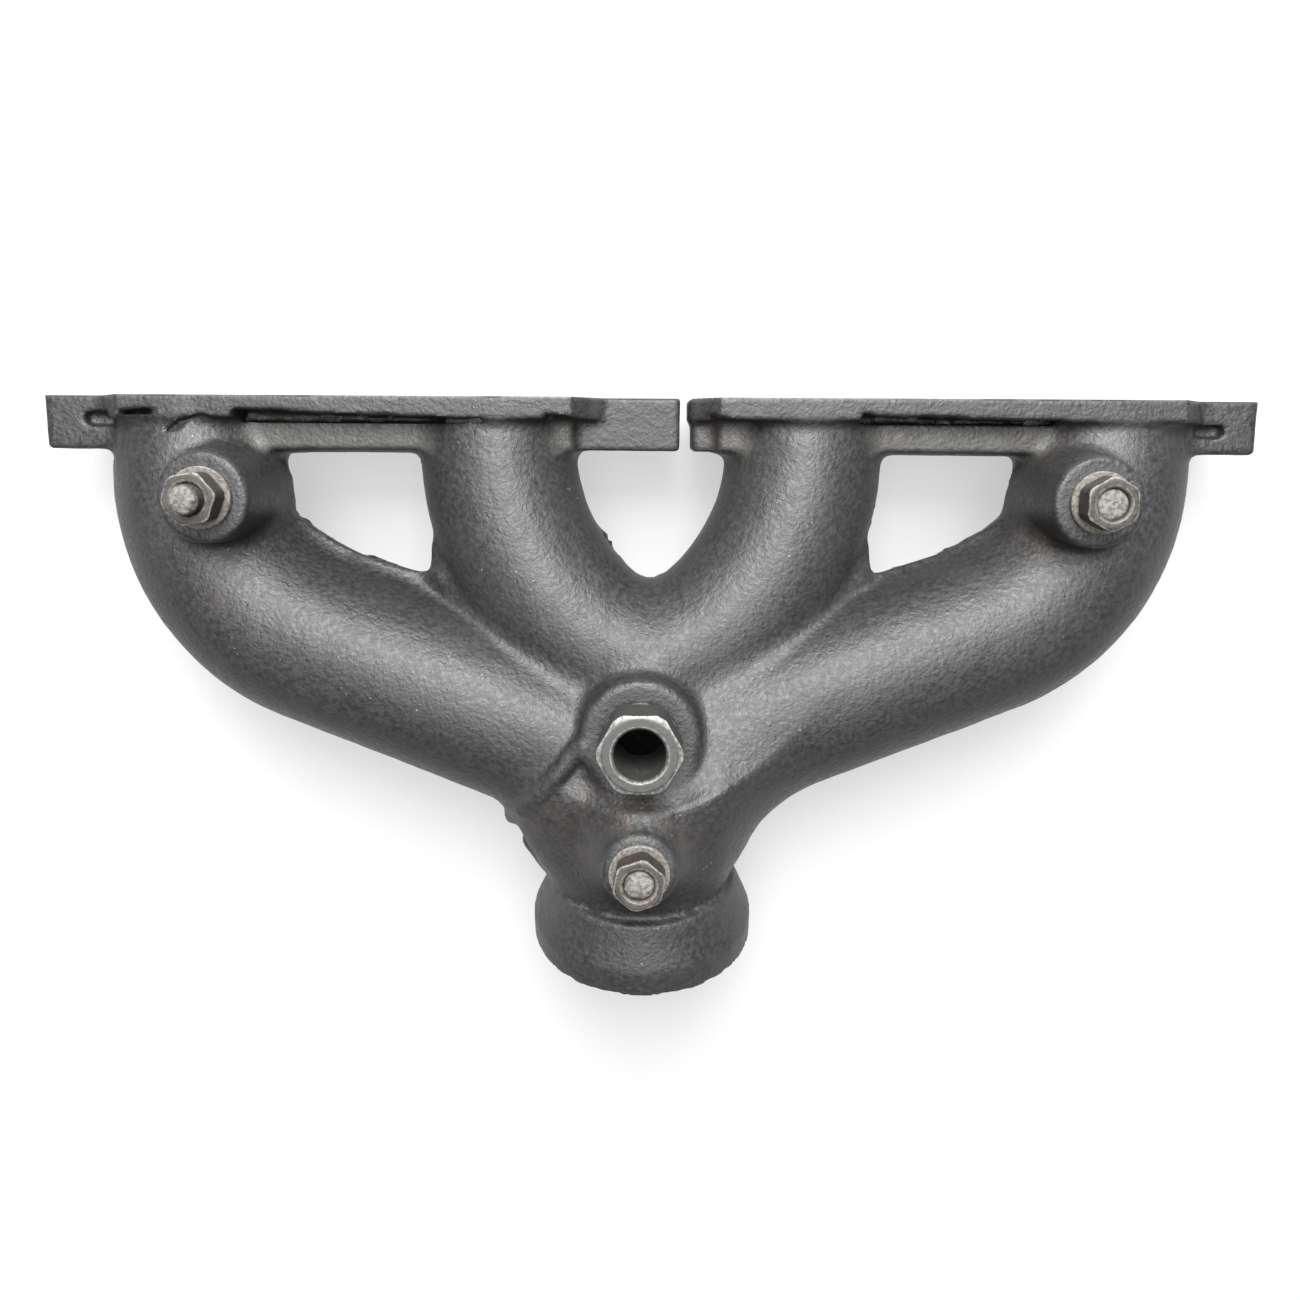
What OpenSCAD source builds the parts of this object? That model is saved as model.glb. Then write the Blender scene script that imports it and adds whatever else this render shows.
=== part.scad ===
// Cast-iron exhaust manifold for a small four-cylinder engine.
// Two separate head flanges, four runners, one collector and a round outlet collar,
// with three heat-shield studs and a threaded probe adaptor.
// Frame: the origin is the centre of the middle bolt hole on the head face. The head face is
// the plane Y = 0, the casting reaches toward -Y, and the port centres lie on the X axis.
// The part rests on the lower edges of its flanges and on the lip of the outlet collar.

/* [Ports] */
// Distance between neighbouring ports along X
port_pitch = 90; // [89:0.5:91]
// Bore of each port at the head face
port_bore = 34; // [30:0.5:35]

/* [Flanges] */
// Overall length over both flanges
flange_length = 347; // [345:1:352]
// Thickness of the flanges along Y
flange_t = 15; // [13:0.5:16]
// Height of the flange band along the head face, half of it above the port centres
flange_h = 52; // [51:0.5:54]
// Thickness of that band along Y
band_t = 6.2; // [5:0.1:7]
// Height of the end tabs and of the middle lugs
tab_h = 28; // [24:1:32]
// Length of each end tab
tab_length = 25; // [23:0.5:27]
// Gap between the two flanges
flange_gap = 3.6; // [2:0.1:5]
// X of the middle of that gap
flange_gap_x = 10; // [9:0.5:11]
// Diameter of the head-bolt holes
bolt_hole_d = 9; // [8.4:0.1:10]

/* [Runners] */
// Outside diameter of a runner where it leaves its flange
runner_root_d = 46; // [45:0.1:47]
// Outside diameter of an outer runner past its root
outer_runner_d = 49; // [48:0.5:50]
// Wall thickness of the casting
wall = 5; // [4:0.25:5.5]
// Angle at which the runners climb away from the head
runner_rise = 9.5; // [8.5:0.1:10]
// Turn of the outer runners
outer_turn = 69; // [68:0.5:70]
// Turn of the inner runners
inner_turn = 66; // [65.5:0.5:66.5]

/* [Outlet] */
// Diameter of the neck under the collector
neck_d = 54; // [53:0.5:55]
// Diameter of the outlet collar
collar_d = 67; // [65:0.5:69]
// Length of the collar's straight rim
rim_length = 7; // [5:0.5:9]
// Bore of the outlet
outlet_bore = 44; // [42:0.5:45]
// Angle of the outlet below the horizontal
outlet_drop = 16; // [14:0.5:18]
// X of the outlet
outlet_x = -2; // [-3:0.5:0]

/* [Heat-shield studs] */
// Distance of the outer studs from the middle, along X
stud_x = 119; // [118:0.5:120]
// Distance of the outer studs from the head face
stud_y = 27.3; // [26.5:0.1:28.5]
// Height of the outer stud bosses above the port centres
boss_z = 44; // [43:0.5:46]
// Diameter of the outer stud bosses
boss_d = 22.8; // [21:0.2:24]
// Distance of the lower stud from the head face
lower_stud_y = 126.5; // [125.5:0.5:127.5]
// Height of the lower stud boss above the port centres
lower_boss_z = 56; // [55:0.5:58]
// Length of stud inside the casting
stud_seat = 12; // [10:0.5:12]
// Stud that stands proud of the left nut
left_proud = 4.4; // [3:0.1:6]
// Stud below the top of the right nut
right_recess = 0.8; // [0:0.1:1.5]

/* [Fasteners] */
// Thread size of the studs
stud_d = 8; // [8]
// Width across flats of the nuts
nut_af = 13; // [13]
// Height of the nuts
nut_h = 8; // [6.5:0.1:9]
// Diameter of the plain washers
washer_d = 16.5; // [16:0.1:18]
// Thickness of the plain washers
washer_t = 2; // [1.6:0.1:2.5]

/* [Probe adaptor] */
// X of the adaptor
adaptor_x = -2.5; // [-3:0.5:-2]
// Distance of the adaptor from the head face
adaptor_y = 92.5; // [92:0.5:93.5]
// Height of the adaptor boss above the port centres
adaptor_boss_z = 45; // [44:0.5:46.5]
// Width across flats of the adaptor
adaptor_af = 21; // [21]
// Height of the adaptor's hexagon
adaptor_h = 15; // [12:0.5:16]
// Outside diameter of the adaptor's thread
adaptor_thread_d = 18; // [18]
// Length of the adaptor's thread
adaptor_thread_l = 12; // [10:0.5:13]
// Bore of the adaptor
adaptor_bore = 13.8; // [12:0.1:14.2]
// Thickness of the adaptor's sealing washer
seal_t = 1.5; // [1:0.1:2]

/* [Hidden] */
$fn = 48;

iron = "#3b3c3d";
steel = "#8f8a83";
bronze = "#8c7a5e";
copper = "#9a6a4a";

// How far cuts run past the faces they open
past = 1;
// Running clearance of threads and loose clearance of washers, on the diameter
thread_gap = 0.1;
washer_gap = 0.4;

// Ports and bolt holes: a bolt in each end tab, one between each pair of ports, one in the middle.
// Each port is bored until its own runner's passage takes over
outer_port_x = 1.5 * port_pitch;
inner_port_x = 0.5 * port_pitch;
port_depths = [14.5, 13.5, 13, 14];
rest_z = -flange_h / 2;
end_bolt_x = flange_length / 2 - 11;
bolt_x = [-end_bolt_x, -port_pitch, 0, port_pitch, end_bolt_x];

// The band's inner ends on the left and right flange, and the ledge behind it
band_end_left = -22;
band_end_right = 19;
ledge_top = 17;
ledge_foot = -21;

// Runners: centre lines in a plane that climbs from the port line. Each starts inside its
// flange, runs straight to its bend and turns toward the middle. The outer ones then run
// straight again. All end inside the collector.
runner_start = flange_t / 2;
passage_start = 11;
runner_root_r = runner_root_d / 2;
outer_runner_r = outer_runner_d / 2;
outer_runner_x = outer_port_x - 2.2;
outer_bend_r = 52.5;
left_bend_y = 22.5;
right_bend_y = 19;
inner_bend_y = 13;
inner_bend_r = 73;
short_of_middle = 10;
outer_run = (outer_runner_x - outer_bend_r * (1 - cos(outer_turn))) / sin(outer_turn)
    - short_of_middle;

// Gusset that closes the corner between an outer and an inner runner
gusset_t = 6;
gusset = [[-102, -38], [-86, -46.5], [-64.5, -52.5], [-63, -45], [-50, -60], [-75, -72], [-98, -58]];

// Collector: a ball where the four runners and the neck meet, its wall thin under the bosses
collector_r = 27;
collector_wall = 3;
collector_along = 108.5;
collector_y = collector_along * cos(runner_rise);
collector_z = collector_along * sin(runner_rise);

// The rim's lowest point touches the resting plane
outlet_face_z = rest_z + collar_d / 2 * cos(outlet_drop);
outlet_face_y = 161.4;
bevel_length = 5;
bevel_d = 63.5;
flare_length = 8;
neck_length = 58;

// Bosses are cones that start inside the casting
boss_base_d = 24.5;
boss_depth = 37;
lower_boss_d = 22.5;
lower_boss_base_d = 31;
lower_boss_depth = 34;
adaptor_boss_d = 33;
adaptor_boss_base_d = 41;
adaptor_boss_depth = 24;
stud_hole_spare = 0.5;

// Puts its children in the plane of the runners, with the port line as the X axis
module in_runner_plane() {
    rotate([-runner_rise, 0, 0])
        children();
}

// A round bar in that plane, from one point to another, that may taper
module bar(from, to, r_from, r_to) {
    run = to - from;
    translate([from[0], from[1], 0])
        rotate([0, 0, atan2(run[1], run[0])])
            rotate([0, 90, 0])
                cylinder(h = norm(run), r1 = r_from, r2 = r_to);
}

// A round bend in that plane that starts heading along -Y and turns toward +X
module bend(centre, r_bend, r_tube, turn) {
    translate([centre[0], centre[1], 0])
        rotate([0, 0, 180])
            rotate_extrude(angle = turn)
                translate([r_bend, 0])
                    circle(r = r_tube);
}

// The runner of the left-hand side whose straight root lies at -x. A run of 0 ends it at its bend
module runner(x, start, bend_y, r_bend, turn, r_root, r_main, run) {
    centre = [r_bend - x, -bend_y];
    heading = [sin(turn), -cos(turn)];
    finish = centre - r_bend * [cos(turn), sin(turn)];
    bar([-x, -start], [-x, -bend_y], r_root, r_main);
    bend(centre, r_bend, r_main, turn);
    if (run > 0)
        bar(finish, finish + run * heading, r_main, r_main);
}

// One side's two runners, drawn thinner by inset for their gas passages
module runner_pair(start, bend_y, inset) {
    runner(outer_runner_x, start, bend_y, outer_bend_r, outer_turn,
        runner_root_r - inset, outer_runner_r - inset, outer_run);
    runner(inner_port_x, min(start, inner_bend_y - 1), inner_bend_y, inner_bend_r, inner_turn,
        runner_root_r - inset, runner_root_r - inset, 0);
}

module runners(start, inset) {
    in_runner_plane() {
        runner_pair(start, left_bend_y, inset);
        mirror([1, 0, 0])
            runner_pair(start, right_bend_y, inset);
    }
}

module gussets() {
    in_runner_plane()
        for (side = [0, 1])
            mirror([side, 0, 0])
                linear_extrude(gusset_t, center = true)
                    polygon(gusset);
}

module collector(inset) {
    translate([0, -collector_y, collector_z])
        sphere(r = collector_r - inset);
}

// Puts its children on the outlet axis: the origin is the outlet face, +Z points into the neck
module on_outlet() {
    translate([outlet_x, -outlet_face_y, outlet_face_z])
        rotate([outlet_drop - 90, 0, 0])
            children();
}

module collar() {
    on_outlet() {
        cylinder(h = rim_length, d = collar_d);
        translate([0, 0, rim_length])
            cylinder(h = bevel_length, d1 = collar_d, d2 = bevel_d);
        translate([0, 0, rim_length + bevel_length])
            cylinder(h = flare_length, d1 = bevel_d, d2 = neck_d - 1);
        cylinder(h = neck_length, d = neck_d);
    }
}

// A block of a flange, between two X values, behind the head face
module block(x0, x1, depth, z0, z1) {
    translate([x0, -depth, z0])
        cube([x1 - x0, depth, z1 - z0]);
}

// One flange: the full-length bar that ends in a tab and a lug, the ledge and the band
module flange(bar_from, bar_to, band_from, band_to) {
    block(bar_from, bar_to, flange_t, -tab_h / 2, tab_h / 2);
    block(band_from, band_to, flange_t, ledge_foot, ledge_top);
    block(band_from, band_to, band_t, rest_z, rest_z + flange_h);
}

module flanges() {
    end = flange_length / 2;
    flange(-end, flange_gap_x - flange_gap / 2, tab_length - end, band_end_left);
    flange(flange_gap_x + flange_gap / 2, end, band_end_right, end - tab_length);
}

module boss(x, y, z, d, base_d, depth) {
    translate([x, -y, z - depth])
        cylinder(h = depth, d1 = base_d, d2 = d);
}

module bosses() {
    for (side = [-1, 1])
        boss(side * stud_x, stud_y, boss_z, boss_d, boss_base_d, boss_depth);
    boss(adaptor_x, adaptor_y, adaptor_boss_z, adaptor_boss_d, adaptor_boss_base_d,
        adaptor_boss_depth);
    boss(adaptor_x, lower_stud_y, lower_boss_z, lower_boss_d, lower_boss_base_d,
        lower_boss_depth);
}

// A hole square to the head face
module face_hole(x, depth, d) {
    translate([x, past, 0])
        rotate([90, 0, 0])
            cylinder(h = depth + past, d = d);
}

// A hole straight down into a boss
module boss_hole(x, y, face_z, depth, d) {
    translate([x, -y, face_z - depth])
        cylinder(h = depth + past, d = d);
}

module stud_hole(x, y, face_z) {
    boss_hole(x, y, face_z, stud_seat + stud_hole_spare, stud_d);
}

module gas_passages() {
    runners(passage_start, wall);
    collector(collector_wall);
    on_outlet()
        translate([0, 0, -past])
            cylinder(h = neck_length - wall + past, d = outlet_bore);
}

module manifold_casting() {
    color(iron)
        difference() {
            union() {
                flanges();
                runners(runner_start, 0);
                gussets();
                collector(0);
                collar();
                bosses();
            }
            gas_passages();
            for (side = [-1, 1])
                stud_hole(side * stud_x, stud_y, boss_z);
            for (i = [0:3])
                face_hole((i - 1.5) * port_pitch, port_depths[i], port_bore);
            for (x = bolt_x)
                face_hole(x, flange_t + past, bolt_hole_d);
            stud_hole(adaptor_x, lower_stud_y, lower_boss_z);
            boss_hole(adaptor_x, adaptor_y, adaptor_boss_z, adaptor_boss_depth,
                adaptor_thread_d + thread_gap);
        }
}

module stud(x, y, face_z, length) {
    color(steel)
        translate([x, -y, face_z - stud_seat])
            cylinder(h = stud_seat + length, d = stud_d);
}

// A flat ring with a round hole
module ring(h, d, bore) {
    difference() {
        cylinder(h = h, d = d);
        translate([0, 0, -past])
            cylinder(h = h + 2 * past, d = bore);
    }
}

// A hexagon prism with a round bore
module hex_ring(h, af, bore) {
    difference() {
        cylinder(h = h, d = af / cos(30), $fn = 6);
        translate([0, 0, -past])
            cylinder(h = h + 2 * past, d = bore);
    }
}

module washer(x, y, face_z) {
    color(bronze)
        translate([x, -y, face_z])
            ring(washer_t, washer_d, stud_d + washer_gap);
}

module nut(x, y, face_z, turned) {
    color(steel)
        translate([x, -y, face_z + washer_t])
            rotate([0, 0, turned])
                hex_ring(nut_h, nut_af, stud_d + thread_gap);
}

module left_stud() stud(-stud_x, stud_y, boss_z, washer_t + nut_h + left_proud);
module left_washer() washer(-stud_x, stud_y, boss_z);
module left_nut() nut(-stud_x, stud_y, boss_z, 10);
module right_stud() stud(stud_x, stud_y, boss_z, washer_t + nut_h - right_recess);
module right_washer() washer(stud_x, stud_y, boss_z);
module right_nut() nut(stud_x, stud_y, boss_z, 30);
module lower_stud() stud(adaptor_x, lower_stud_y, lower_boss_z, washer_t + nut_h);
module lower_washer() washer(adaptor_x, lower_stud_y, lower_boss_z);
module lower_nut() nut(adaptor_x, lower_stud_y, lower_boss_z, 19);

module adaptor_seal() {
    color(copper)
        translate([adaptor_x, -adaptor_y, adaptor_boss_z])
            ring(seal_t, adaptor_af, adaptor_thread_d + washer_gap);
}

module probe_adaptor() {
    color(steel)
        translate([adaptor_x, -adaptor_y, adaptor_boss_z + seal_t]) {
            hex_ring(adaptor_h, adaptor_af, adaptor_bore);
            translate([0, 0, -adaptor_thread_l])
                ring(adaptor_thread_l, adaptor_thread_d, adaptor_bore);
        }
}

manifold_casting();
left_stud();
left_washer();
left_nut();
right_stud();
right_washer();
right_nut();
lower_stud();
lower_washer();
lower_nut();
adaptor_seal();
probe_adaptor();
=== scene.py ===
"""Looks of the cast-iron exhaust manifold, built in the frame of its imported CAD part.

The casting is one distance field, meshed here with the same sizes as the CAD part plus what a
sand casting has: fillets, flash, grooves, pockets and an uneven skin. Lengths are in millimetres
until a mesh is made.
"""

import math

import bpy
import numpy as np
from mathutils import Matrix, Vector


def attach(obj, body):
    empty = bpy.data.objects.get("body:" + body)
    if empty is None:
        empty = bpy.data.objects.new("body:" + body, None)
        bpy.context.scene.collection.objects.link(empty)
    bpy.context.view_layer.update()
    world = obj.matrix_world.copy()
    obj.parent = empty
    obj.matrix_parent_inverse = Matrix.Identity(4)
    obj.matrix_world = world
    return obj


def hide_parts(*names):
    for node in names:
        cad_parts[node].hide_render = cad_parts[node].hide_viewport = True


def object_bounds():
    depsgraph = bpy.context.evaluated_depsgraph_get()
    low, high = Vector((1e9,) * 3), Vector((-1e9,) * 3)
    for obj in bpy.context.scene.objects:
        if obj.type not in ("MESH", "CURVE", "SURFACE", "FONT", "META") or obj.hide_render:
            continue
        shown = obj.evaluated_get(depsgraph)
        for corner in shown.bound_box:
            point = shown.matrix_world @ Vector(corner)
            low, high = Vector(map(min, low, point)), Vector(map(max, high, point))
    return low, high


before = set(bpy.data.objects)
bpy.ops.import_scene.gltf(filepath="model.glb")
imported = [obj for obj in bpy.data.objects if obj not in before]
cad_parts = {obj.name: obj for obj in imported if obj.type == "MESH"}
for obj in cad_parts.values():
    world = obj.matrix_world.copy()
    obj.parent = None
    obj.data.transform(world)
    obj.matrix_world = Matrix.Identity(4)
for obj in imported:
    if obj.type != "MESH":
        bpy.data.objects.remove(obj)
CAD_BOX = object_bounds()

MM = 0.001
SEED = 5


# ---------------------------------------------------------------- numbers shared with the CAD part

RISE = math.radians(9.5)
SIN_RISE, COS_RISE = math.sin(RISE), math.cos(RISE)
OUTER_X, INNER_X = 132.8, 45.0
BEND_Y = {-1: 22.5, 1: 19.0}
OUTER_BEND_R, OUTER_TURN, OUTER_RUN = 52.5, math.radians(69), 96.17
INNER_BEND_Y, INNER_BEND_R, INNER_TURN = 13.0, 73.0, math.radians(66)
ROOT_R, OUTER_R, WALL = 23.0, 24.5, 5.0
RUNNER_START = 7.5
COLLECTOR = (0.0, -107.01, 17.91)
COLLECTOR_R, CHAMBER_WALL = 27.0, 3.0
REST_Z = -26.0
DROP = math.radians(16)
MOUTH = (-2.0, -161.4, REST_Z + 33.5 * math.cos(DROP))
BOLTS = (-162.5, -90.0, 0.0, 90.0, 162.5)
PORTS = ((-135.0, 14.5), (-45.0, 13.5), (45.0, 13.0), (135.0, 14.0))
STUDS = {"left": (-119.0, -27.3, 44.0, 58.4), "right": (119.0, -27.3, 44.0, 53.2),
         "lower": (-2.5, -126.5, 56.0, 66.0)}
ADAPTOR = (-2.5, -92.5, 45.0)
PORT_R, BOLT_R, BOLT_DEPTH = 17.0, 4.5, 17.0
STUD_R, STUD_HOLE_R, STUD_HOLE_DEPTH, STUD_SEAT = 4.0, 4.05, 12.5, 12.0
ADAPTOR_HOLE_R, ADAPTOR_HOLE_DEPTH = 9.05, 24.0
NECK_R, NECK_SWELL, NECK_LENGTH, OUTLET_BORE_R = 25.0, 2.0, 58.0, 22.0
WASHER_HEIGHT, SEAL_HEIGHT = 2.0, 1.5
NUT_PITCH, ADAPTOR_PITCH = 1.25, 1.5
SIDE_BOSS, SIDE_BOSS_DEPTH = (12.3, 14.4), 37.0
ADAPTOR_BOSS, ADAPTOR_BOSS_DEPTH = (16.4, 19.9), 24.0
LOWER_BOSS, LOWER_BOSS_DEPTH = (10.3, 15.6), 34.0


# ---------------------------------------------------------------- small field helpers

def blend_min(a, b, k):
    """Union of two fields with a fillet of about k."""
    h = np.maximum(k - np.abs(a - b), 0.0) / k
    return np.minimum(a, b) - h * h * (k * 0.25)


def blend_max(a, b, k):
    """Overlap of two fields with a rounding of about k."""
    return -blend_min(-a, -b, k)


def smooth(x, lo, hi):
    """0 below lo, 1 above hi, and a smooth step between."""
    t = np.clip((x - lo) / (hi - lo), 0.0, 1.0)
    return t * t * (3 - 2 * t)


def noise(x, y, z, wavelength, seed):
    """Smooth random field from -1 to 1 with the given wavelength."""
    table = np.random.default_rng(SEED + seed).uniform(-1, 1, (32, 32, 32)).astype(np.float32)
    cell, part = [], []
    for v in (x, y, z):
        q = np.asarray(v, np.float32) / wavelength
        i = np.floor(q)
        f = q - i
        cell.append(i.astype(np.int32) & 31)
        part.append(f * f * (3 - 2 * f))
    out = 0.0
    for dx in (0, 1):
        for dy in (0, 1):
            for dz in (0, 1):
                w = 1.0
                for f, d in zip(part, (dx, dy, dz)):
                    w = w * (f if d else 1 - f)
                out = out + w * table[(cell[0] + dx) & 31, (cell[1] + dy) & 31,
                                      (cell[2] + dz) & 31]
    return out


def segment(px, py, ax, ay, bx, by):
    """Distance in a plane to a segment, and how far along it the nearest point is, 0 to 1."""
    dx, dy = bx - ax, by - ay
    t = np.clip(((px - ax) * dx + (py - ay) * dy) / (dx * dx + dy * dy), 0.0, 1.0)
    return np.hypot(px - ax - t * dx, py - ay - t * dy), t


def box(x, y, z, lo, hi, rounding):
    """A box with rounded edges."""
    outside, inside = 0.0, -1e9
    for v, a, b in zip((x, y, z), lo, hi):
        q = np.abs(v - (a + b) / 2) - ((b - a) / 2 - rounding)
        outside = outside + np.maximum(q, 0.0) ** 2
        inside = np.maximum(inside, q)
    return np.sqrt(outside) + np.minimum(inside, 0.0) - rounding


def polygon(px, py, points):
    """Signed distance to a closed polygon in a plane."""
    best = np.full(np.shape(px), 1e9, np.float32)
    sign = np.ones(np.shape(px), np.float32)
    for i, (ax, ay) in enumerate(points):
        bx, by = points[i - 1]
        best = np.minimum(best, segment(px, py, ax, ay, bx, by)[0])
        above, below = py >= ay, py < by
        side = (bx - ax) * (py - ay) > (by - ay) * (px - ax)
        flip = (above & below & side) | (~above & ~below & ~side)
        sign = np.where(flip, -sign, sign)
    return best * sign


def in_plane(y, z):
    """The runners' plane climbs from the port line: the place along it and the height above it."""
    return y * COS_RISE - z * SIN_RISE, y * SIN_RISE + z * COS_RISE


# ---------------------------------------------------------------- the casting's distance field

def runner(x, yp, zp, root_x, bend_y, bend_r, turn, run, root_r, main_r):
    """A tube that starts at -root_x heading along -Y and bends toward +X."""
    flat, t = segment(x, yp, -root_x, -RUNNER_START, -root_x, -bend_y)
    body = np.hypot(flat, zp) - (root_r + (main_r - root_r) * t)
    cx, cy = bend_r - root_x, -bend_y
    angle = np.arctan2(cy - yp, cx - x)
    away = np.abs(np.hypot(x - cx, yp - cy) - bend_r)
    ends = np.hypot(x - cx + bend_r * math.cos(turn), yp - cy + bend_r * math.sin(turn))
    away = np.where((angle >= 0) & (angle <= turn), away, ends)
    body = np.minimum(body, np.hypot(away, zp) - main_r)
    if run:
        fx, fy = cx - bend_r * math.cos(turn), cy - bend_r * math.sin(turn)
        flat, t = segment(x, yp, fx, fy, fx + run * math.sin(turn), fy - run * math.cos(turn))
        body = np.minimum(body, np.hypot(flat, zp) - main_r)
    return body


def runners(x, y, z, inset):
    """The four runners in order from -X to +X."""
    yp, zp = in_plane(y, z)
    found = []
    for side in (-1, 1):
        xs = -side * x
        outer = runner(xs, yp, zp, OUTER_X, BEND_Y[side], OUTER_BEND_R, OUTER_TURN, OUTER_RUN,
                       ROOT_R - inset, OUTER_R - inset)
        inner = runner(xs, yp, zp, INNER_X, INNER_BEND_Y, INNER_BEND_R, INNER_TURN, 0,
                       ROOT_R - inset, ROOT_R - inset)
        found += [outer, inner] if side < 0 else [inner, outer]
    return found


def collector(x, y, z, inset):
    """The ball where the runners and the neck meet."""
    cx, cy, cz = COLLECTOR
    return np.sqrt((x - cx) ** 2 + (y - cy) ** 2 + (z - cz) ** 2) - (COLLECTOR_R - inset)


def outlet_place(x, y, z):
    """How far into the outlet from its mouth, and how far from its axis."""
    u, v = y - MOUTH[1], z - MOUTH[2]
    t = u * math.cos(DROP) + v * math.sin(DROP)
    across = -u * math.sin(DROP) + v * math.cos(DROP)
    return t, np.hypot(x - MOUTH[0], across)


def boss(x, y, z, cx, cy, top, top_r, base_r, depth, edge):
    """A cone that stands up out of the casting, its top edge rounded."""
    away = np.hypot(x - cx, y - cy)
    slope = (base_r - top_r) / depth
    side = (away - (top_r + (top - z) * slope)) / math.hypot(1, slope)
    return np.maximum(blend_max(side, z - top, edge), top - depth - z)


def hole(x, y, cx, cy, r):
    """An endless upright cylinder."""
    return np.hypot(x - cx, y - cy) - r


FLANGES = ((-173.5, 8.2, -148.5, -22.0), (11.8, 173.5, 19.0, 148.5))
GUSSET = ((-102, -38), (-86, -46.5), (-64.5, -52.5), (-63, -45), (-50, -60), (-75, -72), (-98, -58))
# slots behind the band, each from one end of its front edge to the other
CREVICES = (((-147.4, -4.3), (-138.0, -4.3)), ((-115.9, -4.0), (-47.0, -6.1)),
            ((-29.5, -4.6), (-20.2, -6.3)), ((16.0, -4.8), (30.2, -7.2)), ((58.0, -4.6), (114.7, -5.9)))
POCKETS = (((-162.0, -8.4), (-153.6, -4.6)), ((155.8, -10.3), (163.6, -6.7)))
# the step where the left outer runner runs into the neck, and the webs between the runners
STEP = ((-19.5, -95.5, 42.2), (-25.5, -103.0, 42.2), (-31.0, -109.8, 39.8), (-35.8, -115.4, 34.5),
        (-40.0, -120.6, 24.0))
WEBS = (((-61.0, -51.5, 13.5), (-48.0, -63.5, 17.0), (-36.5, -73.5, 22.5), (-24.0, -82.0, 28.0)),
        ((60.5, -51.5, 13.5), (42.5, -63.5, 19.0), (29.5, -74.5, 25.0), (19.0, -83.0, 29.0)))


def rods(x, y, z, points, r):
    """A round rod bent through some points."""
    best = None
    for (ax, ay, az), (bx, by, bz) in zip(points, points[1:]):
        dx, dy, dz = bx - ax, by - ay, bz - az
        t = np.clip(((x - ax) * dx + (y - ay) * dy + (z - az) * dz)
                    / (dx * dx + dy * dy + dz * dz), 0.0, 1.0)
        d = np.sqrt((x - ax - t * dx) ** 2 + (y - ay - t * dy) ** 2 + (z - az - t * dz) ** 2)
        best = d if best is None else np.minimum(best, d)
    return best - r


def flanges(x, y, z):
    """Both flanges. They run past the head face here, which is cut flat at the end."""
    whole = None
    for bar_from, bar_to, band_from, band_to in FLANGES:
        bar = box(x, y, z, (bar_from, -15, -14), (bar_to, 6, 14), 1.3)
        ledge = box(x, y, z, (band_from, -15, -21), (band_to, 6, 17), 1.6)
        band = box(x, y, z, (band_from - 8, -6.2, -26), (band_to + 8, 6, 26), 1.0)
        past = np.maximum(np.maximum(band_from - x, x - band_to), 0.0)
        band = np.maximum(band, (1.5 * past + np.abs(z) - 26) / 1.8)
        one = blend_min(blend_min(bar, ledge, 3.0), band, 2.2)
        whole = one if whole is None else np.minimum(whole, one)
    return whole


def slots(x, y, z):
    """The crevices behind the band and the small grooves near the flanges."""
    ragged = 0.45 * noise(x, y, 0 * x, 3.1, 11) + 0.3 * noise(x, y, 0 * x, 9.0, 12)
    whole = None
    for (ax, ay), (bx, by) in CREVICES:
        front = ay + (by - ay) * np.clip((x - ax) / (bx - ax), 0, 1) + ragged
        one = np.maximum(y - front, min(ay, by) - 1.0 - y)
        one = np.maximum(one, np.abs(x - (ax + bx) / 2) - (bx - ax) / 2 + ragged)
        one = np.maximum(one, (13.6 if bx - ax > 30 else 20.3) + 1.5 * ragged - z)
        whole = one if whole is None else np.minimum(whole, one)
    for (ax, ay), (bx, by) in POCKETS:
        one = box(x, y, z, (ax, ay, 11.2), (bx, by, 22.0), 1.5)
        whole = np.minimum(whole, one + 0.6 * ragged)
    arc = rods(x, y, z, ((-134.4, -10.3, 24.4), (-130.0, -7.2, 25.0), (-124.7, -5.9, 25.3),
                         (-119.5, -7.2, 25.0), (-115.5, -10.3, 24.2)), 0.7)
    return np.minimum(whole, arc + 0.3 * ragged)


def flash(x, y, z, body_at):
    """Thin ragged metal left on the parting plane, inside the windows and at the V."""
    yp, zp = in_plane(y, z)
    flat = np.abs(zp + 0.4) - 0.8
    ragged = -0.5 + 0.6 * noise(x, yp, 0 * x, 2.6, 1) + 1.3 * noise(x, yp, 0 * x, 8.0, 2)
    keep = np.maximum(np.maximum(np.abs(x) - 108.0, -yp - 66.0), y + 15.6)
    return np.maximum(np.maximum(flat, body_at - ragged), keep)


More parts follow.
